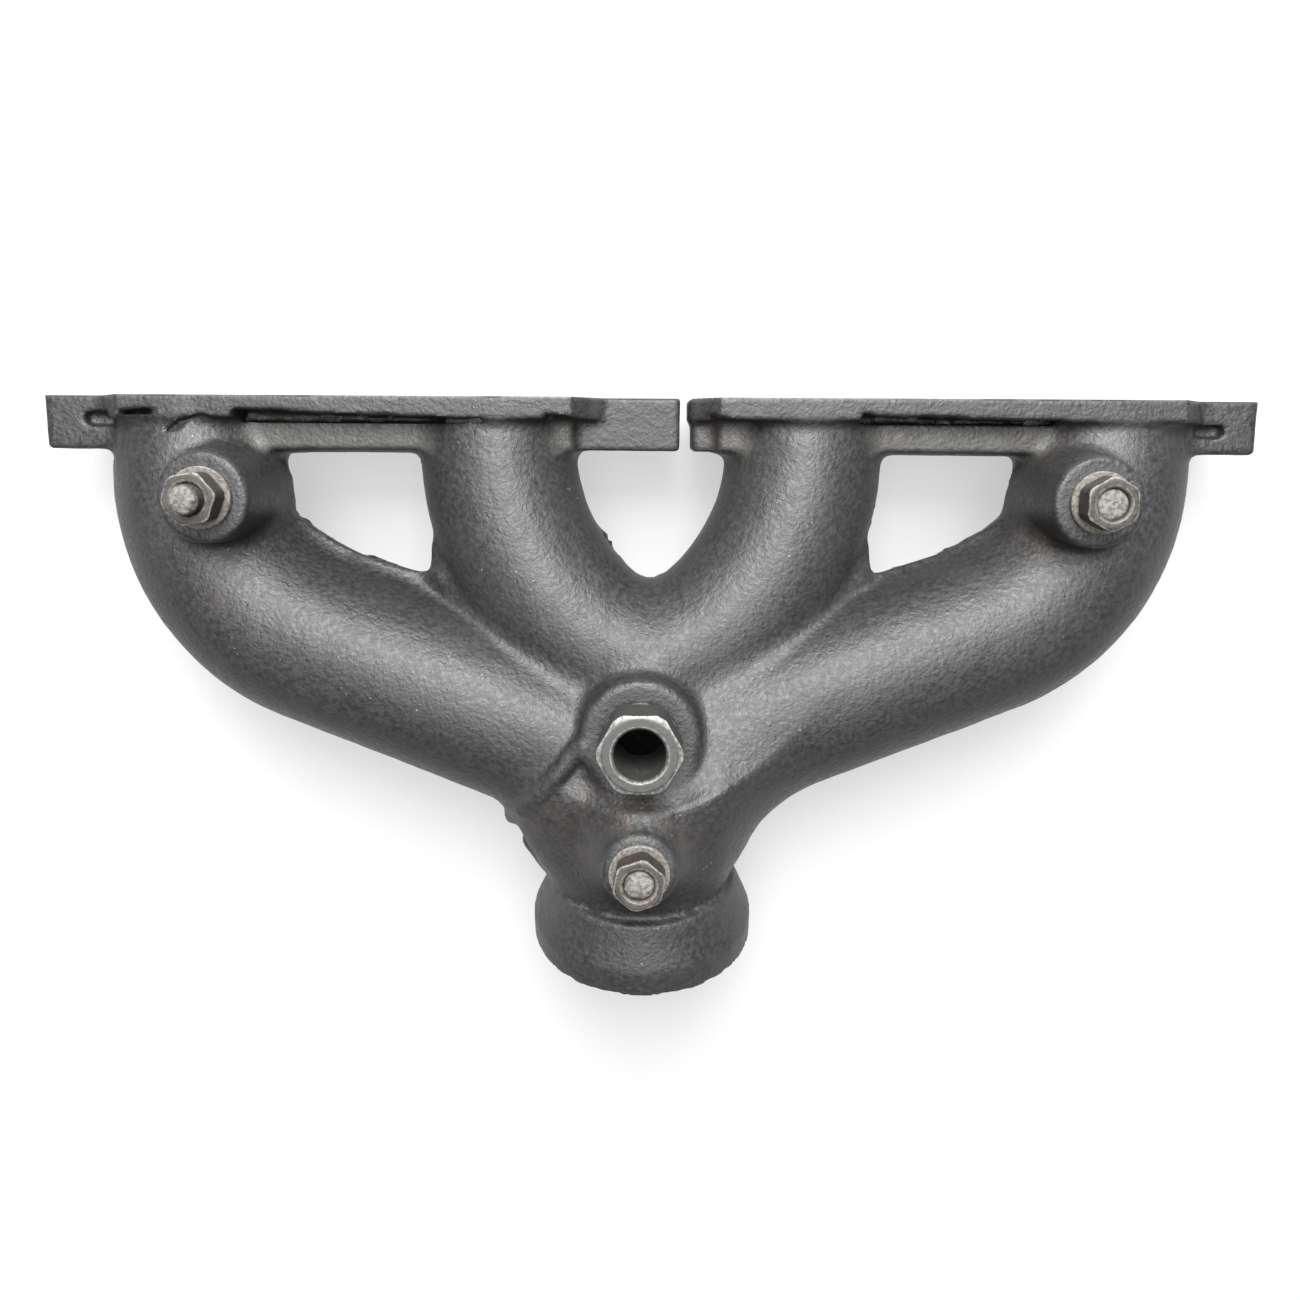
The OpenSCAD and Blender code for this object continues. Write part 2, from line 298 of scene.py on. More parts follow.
def casting(x, y, z):
    """Signed distance to the casting's skin."""
    r1, r2, r3, r4 = runners(x, y, z, 0)
    ball = collector(x, y, z, 0)
    t, away = outlet_place(x, y, z)
    neck = np.maximum(away - NECK_R - NECK_SWELL * smooth(t, 23.0, 36.0),
                      np.maximum(-t, t - NECK_LENGTH))
    rim = polygon(t, away, ((0.6, -9), (0.6, 32.9), (7.6, 32.9), (9.0, 32.4),
                            (20.4, 27.5), (20.4, -9))) - 0.6
    body = blend_min(blend_min(r1, r2, 5.0), blend_min(r3, r4, 5.0), 6.0)
    for web in WEBS:
        body = blend_min(body, rods(x, y, z, web, 2.4), 4.0)
    body = blend_min(body, ball, 6.0)
    body = blend_min(body, neck, 9.0 + 17.0 * smooth(x, 2.0, 22.0))
    shoulder = rods(x, y, z, ((-23.5, -112.0, 22.0), (-14.0, -133.0, 14.5)), 19.0)
    shoulder = shoulder + 0.5 * noise(x, y, z, 7.0, 13)
    body = blend_min(body, shoulder, 5.0)
    body = blend_min(body, rods(x, y, z, STEP, 2.6), 1.6)
    lump = rods(x, y, z, ((-35.6, -131.0, 14.0), (-30.6, -138.5, 13.0)), 3.0)
    body = blend_min(body, lump + 0.7 * noise(x, y, z, 4.0, 14), 2.5)
    body = blend_min(body, rim, 0.5)
    for key in ("left", "right"):
        body = blend_min(body, boss(x, y, z, *STUDS[key][:3], *SIDE_BOSS, SIDE_BOSS_DEPTH, 1.3), 4.0)
    body = blend_min(body, boss(x, y, z, *ADAPTOR, *ADAPTOR_BOSS, ADAPTOR_BOSS_DEPTH, 1.2), 2.6)
    snout = boss(x, y, z, *STUDS["lower"][:3], *LOWER_BOSS, LOWER_BOSS_DEPTH, 1.2)
    saddle = rods(x, y, z, ((-2.5, -104.0, 33.0), (-2.5, -119.0, 40.0)), 9.5)
    body = blend_min(body, blend_min(snout, saddle, 9.0), 7.0)
    yp, zp = in_plane(y, z)
    for side in (-1, 1):
        web = np.maximum(polygon(-side * x, yp, GUSSET), np.abs(zp) - 2.2)
        body = blend_min(body, web, 7.0)
    body = blend_min(body, flanges(x, y, z), 3.5)
    body = np.minimum(body, flash(x, y, z, body))
    body = blend_max(body, -slots(x, y, z), 0.7)
    gas = runners(x, y, z, WALL)
    inner = blend_min(blend_min(gas[0], gas[1], 4.0), blend_min(gas[2], gas[3], 4.0), 4.0)
    inner = blend_min(inner, collector(x, y, z, CHAMBER_WALL), 4.0)
    outlet = np.maximum(away - OUTLET_BORE_R, np.maximum(t - (NECK_LENGTH - WALL), -t - WALL))
    inner = blend_min(inner, outlet, 3.0)
    for px, depth in PORTS:
        inner = blend_min(inner, np.maximum(np.hypot(x - px, z) - PORT_R, -depth - y), 2.0)
    body = np.maximum(body, -inner)
    for px in BOLTS:
        body = np.maximum(body, -np.maximum(np.hypot(x - px, z) - BOLT_R, -BOLT_DEPTH - y))
    for cx, cy, top, _ in STUDS.values():
        cut = np.maximum(hole(x, y, cx, cy, STUD_HOLE_R), top - STUD_HOLE_DEPTH - z)
        body = np.maximum(body, -cut)
    cx, cy, top = ADAPTOR
    cut = np.maximum(hole(x, y, cx, cy, ADAPTOR_HOLE_R), top - ADAPTOR_HOLE_DEPTH - z)
    body = np.maximum(body, -cut)
    body = np.maximum(body, -t)
    return np.maximum(body, y)


def near(x, y, z, at, r):
    """1 at a place, fading to 0 at r from it."""
    return 1 - smooth(np.sqrt((x - at[0]) ** 2 + (y - at[1]) ** 2 + (z - at[2]) ** 2), 0.0, r)


def stains(x, y, z):
    """Where the skin is rusty, and where it is pale."""
    rust = 0.0
    for at, r, amount in (((-3, -114, 45), 15, 1.0), ((10, -118, 44), 12, 0.6),
                          ((-2.5, -78, 36), 14, 0.35), ((108, -38, 26), 13, 0.8),
                          ((112, -12, 22), 16, 0.35), ((-20, -116, 36), 24, 0.55),
                          ((16, -8, 14), 9, 0.9), ((-118, -56, 22), 26, 0.35),
                          ((98, -62, 20), 30, 0.35), ((-27, -145, 20), 12, 0.5)):
        rust = np.maximum(rust, amount * near(x, y, z, at, r))
    pale = 0.0
    for at, r, amount in (((-24.2, -152.5, 22), 6, 1.0), ((-11.2, -158.2, 30), 3.4, 0.9),
                          ((-22.7, -10.2, 17), 8, 0.7), ((-1.4, -52, 12), 9, 0.7),
                          ((55, -50, 12), 11, 0.5), ((62, -22, 12), 12, 0.5),
                          ((132, -14, 20), 16, 0.45), ((-152, -3, 18), 8, 0.5), ((150, -4, 18), 9, 0.5)):
        pale = np.maximum(pale, amount * near(x, y, z, at, r))
    ledge = smooth(z, 15.0, 16.6) * (1 - smooth(z, 17.6, 20.0)) * smooth(y, -17.0, -14.5)
    return rust, np.maximum(pale, ledge)


# ---------------------------------------------------------------- meshing

def surface_nets(value, axes):
    """Quads on the zero level of a field sampled on a grid, one vertex in each cell it crosses."""
    cells = [n - 1 for n in value.shape]
    total = cells[0] * cells[1] * cells[2]
    sums, count, quads = np.zeros((total, 3)), np.zeros(total), []
    for a in range(3):
        b, c = (a + 1) % 3, (a + 2) % 3
        lo, hi = [slice(None)] * 3, [slice(None)] * 3
        lo[a], hi[a] = slice(None, -1), slice(1, None)
        edge = np.argwhere((value[tuple(lo)] < 0) != (value[tuple(hi)] < 0))
        keep = [(edge[:, d] > 0) & (edge[:, d] < cells[d]) for d in (b, c)]
        edge = edge[keep[0] & keep[1]]
        far = edge.copy()
        far[:, a] += 1
        v0, v1 = value[tuple(edge.T)], value[tuple(far.T)]
        point = np.stack([axes[d][edge[:, d]] for d in range(3)], 1)
        point[:, a] += (axes[a][far[:, a]] - point[:, a]) * v0 / (v0 - v1)
        corners = []
        for db, dc in ((0, 0), (-1, 0), (-1, -1), (0, -1)):
            cell = edge.copy()
            cell[:, b] += db
            cell[:, c] += dc
            ids = (cell[:, 0] * cells[1] + cell[:, 1]) * cells[2] + cell[:, 2]
            corners.append(ids)
            count += np.bincount(ids, minlength=total)
            for d in range(3):
                sums[:, d] += np.bincount(ids, weights=point[:, d], minlength=total)
        quad = np.stack(corners, 1)
        quads.append(np.where((v0 < 0)[:, None], quad, quad[:, ::-1]))
    used = count > 0
    new = np.cumsum(used) - 1
    return sums[used] / count[used][:, None], new[np.concatenate(quads)]


def slope_of(field, p, step=0.05):
    """The direction in which a field grows at each point."""
    x, y, z = p.T
    g = np.stack([field(x + step, y, z) - field(x - step, y, z),
                  field(x, y + step, z) - field(x, y - step, z),
                  field(x, y, z + step) - field(x, y, z - step)], 1) / (2 * step)
    return g / np.maximum(np.linalg.norm(g, axis=1, keepdims=True), 1e-6)


def onto(field, p, rounds=3, reach=0.8):
    """Moves points onto the zero level."""
    for _ in range(rounds):
        p = p - np.clip(field(*p.T), -reach, reach)[:, None] * slope_of(field, p) * 0.9
    return p


def make_object(name, points, faces, smooth_angle=None):
    """An object from points in millimetres, smooth except at edges sharper than an angle."""
    mesh = bpy.data.meshes.new(name)
    mesh.from_pydata((np.asarray(points) * MM).tolist(), [], np.asarray(faces).tolist()
                     if isinstance(faces, np.ndarray) else faces)
    mesh.validate()
    mesh.polygons.foreach_set("use_smooth", np.ones(len(mesh.polygons), bool))
    if smooth_angle is not None:
        mesh.set_sharp_from_angle(angle=math.radians(smooth_angle))
    obj = bpy.data.objects.new(name, mesh)
    bpy.context.scene.collection.objects.link(obj)
    return obj


def paint(obj, name, values):
    """A number at each vertex, for the materials."""
    layer = obj.data.attributes.new(name, "FLOAT", "POINT")
    layer.data.foreach_set("value", np.asarray(values, np.float32))


def steps(*stretches):
    """Grid lines: (from, to, spacing) stretches laid end to end."""
    out = []
    for lo, hi, gap in stretches:
        n = max(1, round((hi - lo) / gap))
        out += [lo + (hi - lo) * i / n for i in range(n)]
    return np.array(out + [stretches[-1][1]], np.float32)


def build_casting():
    """Meshes the field, roughens what isn't machined, paints the stains and paints shade into the
    crevices.
    """
    axes = [steps((-176, 176, 1.4)), steps((-173, -18, 1.4), (-18, 2.4, 0.85)),
            steps((-29, 8, 1.4), (8, 30, 1.1), (30, 59, 1.4))]
    grid = np.meshgrid(*axes, indexing="ij", sparse=False)
    value = casting(*grid)
    points, quads = surface_nets(value, axes)
    points = onto(casting, points.astype(np.float32))
    x, y, z = points.T
    t, _ = outlet_place(x, y, z)
    turned = np.maximum(smooth(y, -0.25, -0.05), 1 - smooth(t, 0.05, 0.3))
    for px in BOLTS:
        turned = np.maximum(turned, 1 - smooth(np.hypot(x - px, z), 4.6, 4.8))
    cx, cy, _ = ADAPTOR
    turned = np.maximum(turned, (1 - smooth(np.hypot(x - cx, y - cy), 9.2, 9.4)) * (z > 20))
    rough = (1 - turned)[:, None] * slope_of(casting, points)
    lumps = (0.16 * noise(x, y, z, 14.0, 3) + 0.06 * noise(x, y, z, 5.0, 4)
             + 0.07 * noise(x, y, z, 2.4, 5))
    points = points + rough * (lumps - 0.05)[:, None]
    lo, hi = (np.array(v) / MM for v in CAD_BOX)
    points = np.clip(points, lo, hi)
    obj = make_object("iron_casting", points, quads, 60)
    paint(obj, "turned", turned)
    rust, pale = stains(x, y, z)
    paint(obj, "rust", rust)
    paint(obj, "pale", pale)
    # painted shade: a mask that is 1 inside the crevices and grooves behind the band, where shadow falls
    paint(obj, "painted_crevice_shade", 1 - smooth(slots(x, y, z), 0.15, 1.5))
    return obj


# ---------------------------------------------------------------- turned and threaded pieces

HEXAGON_SEGMENTS = 96


def angles(segments):
    return np.arange(segments) * 2 * math.pi / segments


def ring(r, h, angle):
    """Points round Z. The radius and the height are one number, or one for each angle."""
    return np.stack([r * np.cos(angle), r * np.sin(angle), h + 0 * angle], 1)


def ring_faces(rows, segments, closed=True):
    """Quads from each ring to the next, and from the last to the first if closed."""
    faces = []
    for i in range(rows if closed else rows - 1):
        a, b = i * segments, ((i + 1) % rows) * segments
        for j in range(segments):
            k = (j + 1) % segments
            faces.append((a + j, a + k, b + k, b + j))
    return faces


def lathe(profile, segments, closed=False, twist=None):
    """Turns a profile of (radius, height) points round Z. twist changes each radius by angle."""
    angle = angles(segments)
    rows = [ring(r if twist is None else twist(r, h, angle), h, angle) for r, h in profile]
    points = list(np.concatenate(rows))
    n = len(profile)
    faces = ring_faces(n, segments, closed)
    if not closed:
        for row, turn in ((0, -1), (n - 1, 1)):
            points.append(np.array([0.0, 0.0, profile[row][1]]))
            centre = len(points) - 1
            for j in range(segments):
                k = (j + 1) % segments
                tri = (row * segments + j, row * segments + k, centre)
                faces.append(tri if turn > 0 else tri[::-1])
    return np.array(points), faces


def placed(name, points, faces, at, turned=0.0, angle=40):
    """An object turned by some degrees about Z and moved to a place."""
    c, s = math.cos(math.radians(turned)), math.sin(math.radians(turned))
    p = np.asarray(points, float).copy()
    p[:, 0], p[:, 1] = c * p[:, 0] - s * p[:, 1] + at[0], s * p[:, 0] + c * p[:, 1] + at[1]
    p[:, 2] += at[2]
    return make_object(name, p, faces, angle)


def thread(pitch, depth, start, finish):
    """A helical groove for lathe(), fading out at both ends."""
    def cut(r, h, angle):
        phase = h / pitch - angle / (2 * math.pi)
        wave = 1 - np.abs(2 * (phase - np.floor(phase)) - 1)
        fade = min(1.0, max(0.0, (h - start) / 0.8)) * min(1.0, max(0.0, (finish - h) / 0.5))
        return r - depth * fade * np.clip(wave * 1.5 - 0.25, 0, 1) * (r > 0.6)
    return cut


def stud(name, key, dome, rough, seed):
    """A threaded stud with a worn, domed end."""
    x, y, seat, top = STUDS[key]
    low = seat - STUD_SEAT
    length = top - low
    profile = [(0.3, 0.0), (3.2, 0.0), (3.9, 0.7)]
    rows = int((length - dome - 0.9) / 0.16)
    profile += [(STUD_R, 0.9 + (length - dome - 0.9) * i / rows) for i in range(rows + 1)]
    for i in range(1, 8):
        a = i / 8 * math.pi / 2
        profile.append((0.4 + 3.45 * math.cos(a) ** 0.45, length - dome + dome * math.sin(a)))
    profile.append((0.3, length))
    points, faces = lathe(profile, 56, twist=thread(NUT_PITCH, 0.42, 1.0, length - dome))
    near_top = smooth(points[:, 2], length - dome - 0.8, length)
    bumps = noise(points[:, 0], points[:, 1], points[:, 2], 1.3, seed)
    centre = np.hypot(points[:, 0], points[:, 1])
    shrink = 1 - rough * near_top * (0.5 + 0.5 * bumps) / STUD_R
    points[:, :2] *= shrink[:, None]
    points[:, 2] -= rough * near_top * (0.6 + 0.6 * bumps) * smooth(centre, 0, 4)
    obj = placed(name, points, faces, (x, y, low), 0, 50)
    paint(obj, "worn", near_top * 0.6)
    return obj


def hexagonal(flat, angle, extra):
    """The radius of a hexagon at each angle, with a corner at 0 and its corners cut by extra."""
    r = flat / np.cos(angle % (math.pi / 3) - math.pi / 6)
    return np.minimum(r, flat / math.cos(math.pi / 6) - extra)


def worn_edges(obj, at, flat, height, chamfer_r, slope, bore_r, turned, extra):
    """Bright metal on the corners, along the chamfer and round the bore."""
    co = vertices(obj)
    dx, dy, up = co[:, 0] - at[0], co[:, 1] - at[1], co[:, 2] - at[2]
    away = np.hypot(dx, dy)
    angle = (np.arctan2(dy, dx) - math.radians(turned)) % (2 * math.pi)
    corner = hexagonal(flat, angle, extra)
    fall = np.maximum(corner - chamfer_r, 0) * math.tan(math.radians(slope))
    outside = 1 - smooth(np.abs(away - corner), 0.1, 0.4)
    edge = outside * (1 - smooth(np.abs(up - height + fall), 0.1, 0.45))
    edge = np.maximum(edge, 0.7 * smooth(away, flat * 1.10, flat * 1.14) * (up > 0.5))
    edge = np.maximum(edge, 0.45 * (1 - smooth(np.abs(away - bore_r), 0.1, 0.35)) * (up > height - 0.4))
    paint(obj, "worn", edge)


def bevelled(obj, width, limit, sharp):
    """Rounds the edges sharper than a limit and smooths the shading up to another."""
    bevel = obj.modifiers.new("edge", "BEVEL")
    bevel.width = width * MM
    bevel.segments = 2
    bevel.limit_method = "ANGLE"
    bevel.angle_limit = math.radians(limit)
    graph = bpy.context.evaluated_depsgraph_get()
    mesh = bpy.data.meshes.new_from_object(obj.evaluated_get(graph))
    obj.modifiers.clear()
    obj.data = mesh
    obj.data.polygons.foreach_set("use_smooth", np.ones(len(obj.data.polygons), bool))
    obj.data.set_sharp_from_angle(angle=math.radians(sharp))


def nut(name, at, turned):
    """A chamfered nut with its corners cut short."""
    flat, height, bore, chamfer_r, sink, slope, extra = 6.5, 8.0, 4.05, 6.15, 0.7, 28, 0.4
    angle = angles(HEXAGON_SEGMENTS)
    corner = hexagonal(flat, angle, extra)
    fall = np.maximum(corner - chamfer_r, 0) * math.tan(math.radians(slope))
    rings = ((bore, sink), (bore + sink, 0.0), (chamfer_r, 0.0), (corner, fall),
             (corner, height - fall - 0.6), (corner, height - fall), (chamfer_r, height),
             (chamfer_r - 0.4, height), (bore + sink + 0.4, height), (bore + sink, height),
             (bore, height - sink))
    points = np.concatenate([ring(r, h, angle) for r, h in rings])
    obj = placed(name, points, ring_faces(len(rings), HEXAGON_SEGMENTS), at, turned)
    bevelled(obj, 0.22, 25, 35)
    worn_edges(obj, at, flat, height, chamfer_r, slope, bore + sink, turned, extra)
    return obj


def vertices(obj):
    """The vertices in millimetres."""
    co = np.empty(len(obj.data.vertices) * 3, np.float32)
    obj.data.vertices.foreach_get("co", co)
    return co.reshape(-1, 3) / MM


def washer(name, at, r_in, r_out, height, edge):
    """A flat ring with small chamfers."""
    profile = [(r_in, edge), (r_in + edge, 0), (r_out - edge, 0), (r_out, edge),
               (r_out, height - edge), (r_out - edge, height), (r_in + edge, height),
               (r_in, height - edge)]
    points, faces = lathe(profile, 72, closed=True)
    obj = placed(name, points, faces, at, 0, 35)
    away = np.hypot(points[:, 0], points[:, 1])
    paint(obj, "worn", smooth(away, r_out - 0.6, r_out))
    return obj


# ---------------------------------------------------------------- materials

class Nodes:
    """Shorthand for building a node material."""

    def __init__(self, name):
        self.material = bpy.data.materials.new(name)
        self.material.use_nodes = True
        self.tree = self.material.node_tree
        self.shader = self.tree.nodes["Principled BSDF"]
        place = self.add("ShaderNodeTexCoord")
        self.place = place.outputs["Object"]

    def add(self, kind, **settings):
        node = self.tree.nodes.new(kind)
        for key, value in settings.items():
            setattr(node, key, value)
        return node

    def link(self, a, b):
        self.tree.links.new(a, b)

    def put(self, socket, value):
        if isinstance(value, bpy.types.NodeSocket):
            self.link(value, socket)
        else:
            socket.default_value = value

    def noise(self, scale, detail=3.0, roughness=0.55):
        node = self.add("ShaderNodeTexNoise")
        self.link(self.place, node.inputs["Vector"])
        node.inputs["Scale"].default_value = scale
        node.inputs["Detail"].default_value = detail
        node.inputs["Roughness"].default_value = roughness
        return node.outputs["Fac"]

    def cells(self, scale, feature="F1"):
        node = self.add("ShaderNodeTexVoronoi", feature=feature)
        self.link(self.place, node.inputs["Vector"])
        node.inputs["Scale"].default_value = scale
        return node.outputs["Distance"]

    def math(self, operation, a, b=0.0, clamp=False):
        node = self.add("ShaderNodeMath", operation=operation, use_clamp=clamp)
        self.put(node.inputs[0], a)
        self.put(node.inputs[1], b)
        return node.outputs[0]

    def ramp(self, value, lo, hi, out_lo=0.0, out_hi=1.0):
        node = self.add("ShaderNodeMapRange", clamp=True, interpolation_type="SMOOTHSTEP")
        self.put(node.inputs["Value"], value)
        for key, v in (("From Min", lo), ("From Max", hi), ("To Min", out_lo), ("To Max", out_hi)):
            node.inputs[key].default_value = v
        return node.outputs["Result"]

    def mix(self, share, a, b):
        node = self.add("ShaderNodeMix", data_type="RGBA")
        self.put(node.inputs["Factor"], share)
        sockets = [s for s in node.inputs if s.type == "RGBA"]
        for socket, value in zip(sockets, (a, b)):
            self.put(socket, value if isinstance(value, bpy.types.NodeSocket)
                     else (*value, 1.0))
        return [s for s in node.outputs if s.type == "RGBA"][0]

    def layer(self, name):
        node = self.add("ShaderNodeAttribute", attribute_name=name)
        return node.outputs["Fac"]

    def bump(self, height, distance, strength):
        node = self.add("ShaderNodeBump")
        node.inputs["Strength"].default_value = strength
        node.inputs["Distance"].default_value = distance
        self.link(height, node.inputs["Height"])
        return node.outputs["Normal"]


def iron_material():
    """Dark cast skin with dust and rust, painted shade in the crevices, and bare metal where it is
    machined.
    """
    m = Nodes("cast_iron_skin")
    blotch = m.noise(28.0, 4.0, 0.6)
    fine = m.noise(620.0, 3.0, 0.65)
    facing = m.add("ShaderNodeSeparateXYZ")
    m.link(m.add("ShaderNodeNewGeometry").outputs["Normal"], facing.inputs[0])
    up = m.ramp(facing.outputs["Z"], 0.2, 0.95)
    colour = m.mix(m.ramp(fine, 0.3, 0.72), (0.0135, 0.0137, 0.0141), (0.0290, 0.0292, 0.0298))
    colour = m.mix(m.math("MULTIPLY", m.ramp(blotch, 0.35, 0.7), 0.35), colour, (0.036, 0.0361, 0.0364))
    dust = m.math("MULTIPLY", m.layer("pale"), m.ramp(m.noise(140.0, 5.0, 0.7), 0.33, 0.62, 0.25, 1.0))
    dust = m.math("MULTIPLY", dust, m.ramp(up, 0.0, 1.0, 0.35, 1.0), clamp=True)
    colour = m.mix(m.math("MULTIPLY", dust, 0.8), colour, (0.066, 0.063, 0.055))
    rust = m.math("MULTIPLY", m.layer("rust"), m.ramp(m.noise(170.0, 6.0, 0.72), 0.40, 0.66))
    colour = m.mix(m.math("MULTIPLY", rust, 0.85, clamp=True), colour, (0.072, 0.051, 0.040))
    # painted shade: the crevices are turned near-black, standing in for the shadow inside them
    colour = m.mix(m.math("MULTIPLY", m.layer("painted_crevice_shade"), 0.7), colour, (0.007, 0.0065, 0.006))
    speck = m.math("MULTIPLY", m.ramp(m.cells(520.0), 0.15, 0.07),
                   m.ramp(m.noise(42.0, 3.0, 0.7), 0.60, 0.66))
    colour = m.mix(m.math("MULTIPLY", speck, 0.8), colour, (0.30, 0.29, 0.27))
    cut = m.layer("turned")
    colour = m.mix(cut, colour, m.mix(m.ramp(blotch, 0.35, 0.65), (0.10, 0.096, 0.092),
                                      (0.062, 0.055, 0.048)))
    m.link(colour, m.shader.inputs["Base Color"])
    m.link(m.ramp(fine, 0.3, 0.7, 0.42, 0.58), m.shader.inputs["Roughness"])
    m.link(m.math("MULTIPLY", cut, 0.7), m.shader.inputs["Metallic"])
    m.shader.inputs["Specular IOR Level"].default_value = 0.5
    skin = m.math("SUBTRACT", 1.0, cut)
    pebble = m.math("ADD", m.math("MULTIPLY", m.cells(640.0, "SMOOTH_F1"), -0.8),
                    m.math("MULTIPLY", m.noise(1050.0, 2.0, 0.6), 1.3))
    pebble = m.math("ADD", pebble, m.math("MULTIPLY", m.noise(300.0, 2.0, 0.5), 0.35))
    pebble = m.math("MULTIPLY", pebble, skin)
    m.link(m.bump(pebble, 0.0002, 0.8), m.shader.inputs["Normal"])
    return m.material


def steel_material(name, dark, light, rust_colour, rust_from, rough, shine, edge=(0.30, 0.285, 0.26),
                   pits=1.0):
    """Worn steel: two greys, rust in patches and a bright colour on worn edges."""
    m = Nodes(name)
    grain = m.noise(900.0, 4.0, 0.7)
    patch = m.noise(210.0, 4.0, 0.65)
    colour = m.mix(m.ramp(grain, 0.3, 0.7), dark, light)
    rust = m.ramp(patch, rust_from, rust_from + 0.14)
    colour = m.mix(m.math("MULTIPLY", rust, 0.75), colour, rust_colour)
    worn = m.math("MULTIPLY", m.layer("worn"), m.ramp(m.noise(900.0, 3.0), 0.35, 0.6, 0.35, 1.0))
    colour = m.mix(worn, colour, edge)
    m.link(colour, m.shader.inputs["Base Color"])
    m.link(m.math("SUBTRACT", shine, m.math("MULTIPLY", rust, shine * 0.7)),
           m.shader.inputs["Metallic"])
    m.link(m.ramp(grain, 0.3, 0.7, rough, rough + 0.18), m.shader.inputs["Roughness"])
    m.link(m.bump(m.math("ADD", grain, m.math("MULTIPLY", patch, 0.8)), 0.0002 * pits, 0.9),
           m.shader.inputs["Normal"])
    return m.material


def dress(obj, material, body, node):
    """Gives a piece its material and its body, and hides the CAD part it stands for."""
    obj.data.materials.clear()
    obj.data.materials.append(material)
    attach(obj, body)
    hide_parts(node)


# ---------------------------------------------------------------- the pieces

dress(build_casting(), iron_material(), "casting", "manifold_casting")

stud_look = steel_material("stud_steel_look", (0.021, 0.0203, 0.0195), (0.043, 0.0416, 0.0402),
                           (0.060, 0.042, 0.032), 0.54, 0.6, 0.3, pits=1.6)
nut_look = steel_material("nut_steel_look", (0.036, 0.0335, 0.030), (0.072, 0.067, 0.061),
                          (0.062, 0.044, 0.033), 0.5, 0.52, 0.5, pits=1.6)
washer_look = steel_material("washer_look", (0.060, 0.052, 0.043), (0.105, 0.092, 0.076),
                             (0.080, 0.052, 0.036), 0.55, 0.5, 0.5, pits=1.3)
adaptor_look = steel_material("adaptor_look", (0.054, 0.053, 0.0515), (0.078, 0.077, 0.0745),
                              (0.060, 0.050, 0.042), 0.60, 0.42, 0.5, (0.42, 0.41, 0.385), 0.7)
seal_look = steel_material("seal_look", (0.060, 0.044, 0.034), (0.090, 0.062, 0.046),
                           (0.075, 0.045, 0.032), 0.45, 0.6, 0.3, pits=2.0)

# for each stud: how far its nut is turned, its dome's height, how rough its end is, and a seed
STUD_LOOKS = {"left": (10.0, 1.6, 0.5, 22), "right": (30.0, 0.5, 0.1, 23),
              "lower": (19.0, 0.9, 0.5, 23)}
for key, (sx, sy, seat, _) in STUDS.items():
    turned, *stud_shape = STUD_LOOKS[key]
    dress(stud(f"{key}_stud_piece", key, *stud_shape), stud_look, "casting",
          f"{key}_stud")
    dress(washer(f"{key}_washer_piece", (sx, sy, seat), 4.2, 8.25, WASHER_HEIGHT, 0.3),
          washer_look, f"{key}_washer", f"{key}_washer")
    dress(nut(f"{key}_nut_piece", (sx, sy, seat + WASHER_HEIGHT), turned), nut_look,
          f"{key}_nut", f"{key}_nut")

dress(washer("seal_piece", ADAPTOR, 9.2, 10.5, SEAL_HEIGHT, 0.35), seal_look, "adaptor_seal",
      "adaptor_seal")


def adaptor_piece():
    """The bored hexagon and the threaded shank below it, in one piece."""
    flat, height, shank, thread_r = 10.5, 15.0, 12.0, 9.0
    chamfer_r, slope, rim_r, extra = 9.9, 30, 7.6, 0.75
    angle = angles(HEXAGON_SEGMENTS)
    corner = hexagonal(flat, angle, extra)
    fall = np.maximum(corner - chamfer_r, 0) * math.tan(math.radians(slope))
    rings = [(6.9, -shank + 0.5), (7.4, -shank), (8.4, -shank), (thread_r, -shank + 0.7)]
    count = 64
    cut = thread(ADAPTOR_PITCH, 0.55, 0.6, shank - 0.6)
    for i in range(1, count + 1):
        h = 0.7 + (shank - 0.9) * i / count
        rings.append((cut(thread_r, h, angle), h - shank))
    rings += [(thread_r, 0.0), (10.3, 0.0), (corner, fall * 0.6), (corner, height - fall - 0.6),
              (corner, height - fall), (chamfer_r, height), (chamfer_r - 0.4, height),
              (8.0, height), (rim_r, height), (6.9, height - 0.8)]
    points = np.concatenate([ring(r, h, angle) for r, h in rings])
    x, y, z = ADAPTOR
    at = (x, y, z + SEAL_HEIGHT)
    obj = placed("adaptor_piece", points, ring_faces(len(rings), HEXAGON_SEGMENTS), at)
    bevelled(obj, 0.25, 35, 38)
    worn_edges(obj, at, flat, height, chamfer_r, slope, rim_r, 0.0, extra)
    return obj


dress(adaptor_piece(), adaptor_look, "probe_adaptor", "probe_adaptor")


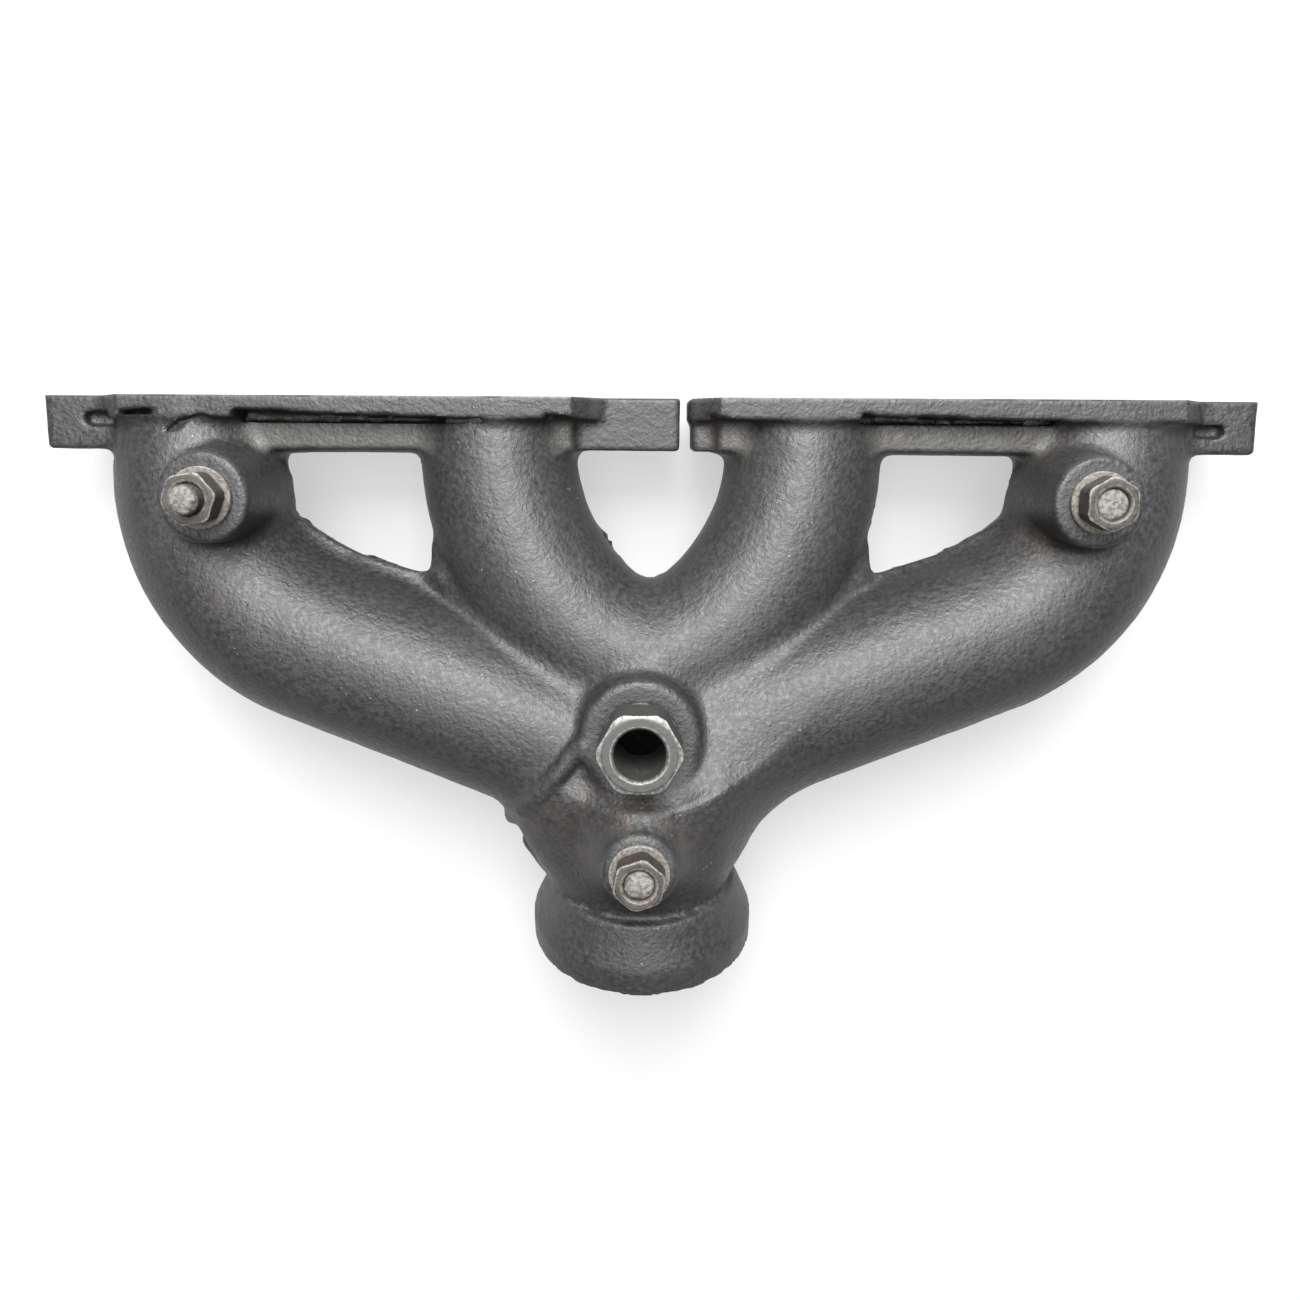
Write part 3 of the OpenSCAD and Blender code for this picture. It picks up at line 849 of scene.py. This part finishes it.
# ---------------------------------------------------------------- floor, light and camera

def floor():
    """Pale paper under the part. It glows a little, so that it stays white where it is shaded."""
    z, half = CAD_BOX[0].z / MM, 4000.0
    corners = [(-half, -half, z), (half, -half, z), (half, half, z), (-half, half, z)]
    obj = make_object("floor", corners, [(0, 1, 2, 3)])
    m = Nodes("floor_paper")
    m.link(m.mix(m.noise(3.0), (0.225, 0.225, 0.228), (0.235, 0.235, 0.238)),
           m.shader.inputs["Base Color"])
    m.shader.inputs["Roughness"].default_value = 0.95
    m.shader.inputs["Specular IOR Level"].default_value = 0.0
    m.shader.inputs["Emission Color"].default_value = (1.0, 1.0, 1.0, 1.0)
    m.shader.inputs["Emission Strength"].default_value = 0.52
    obj.data.materials.append(m.material)


def area(name, location, target, size, energy):
    """A square softbox that faces a target."""
    light = bpy.data.lights.new(name, "AREA")
    light.shape = "SQUARE"
    light.size = size
    light.energy = energy
    obj = bpy.data.objects.new(name, light)
    obj.location = location
    obj.rotation_euler = (Vector(target) - Vector(location)).to_track_quat("-Z", "Y").to_euler()
    bpy.context.scene.collection.objects.link(obj)


floor()
area("softbox_main", (0.0, 0.80, 1.15), (0, -0.08, 0), 0.9, 63.0)
area("softbox_fill", (0.0, -0.05, 1.4), (0, -0.08, 0), 0.9, 16.0)

world = bpy.data.worlds.new("studio")
bpy.context.scene.world = world
world.use_nodes = True
background = world.node_tree.nodes["Background"]
background.inputs["Color"].default_value = (1.0, 1.0, 1.0, 1.0)
background.inputs["Strength"].default_value = 0.1

view = bpy.context.scene.view_settings
view.view_transform = "Standard"
view.look = "None"

camera_data = bpy.data.cameras.new("camera")
camera_data.sensor_width = 36.0
camera_data.lens = 33.23
camera = bpy.data.objects.new("camera", camera_data)
camera.location = (0.0, -0.01165, 0.3636)
tilt = Matrix.Rotation(-math.radians(9.93), 4, "X")
roll = Matrix.Rotation(math.radians(0.33), 4, "Z")
camera.rotation_euler = (tilt @ roll).to_euler()
bpy.context.scene.collection.objects.link(camera)
bpy.context.scene.camera = camera
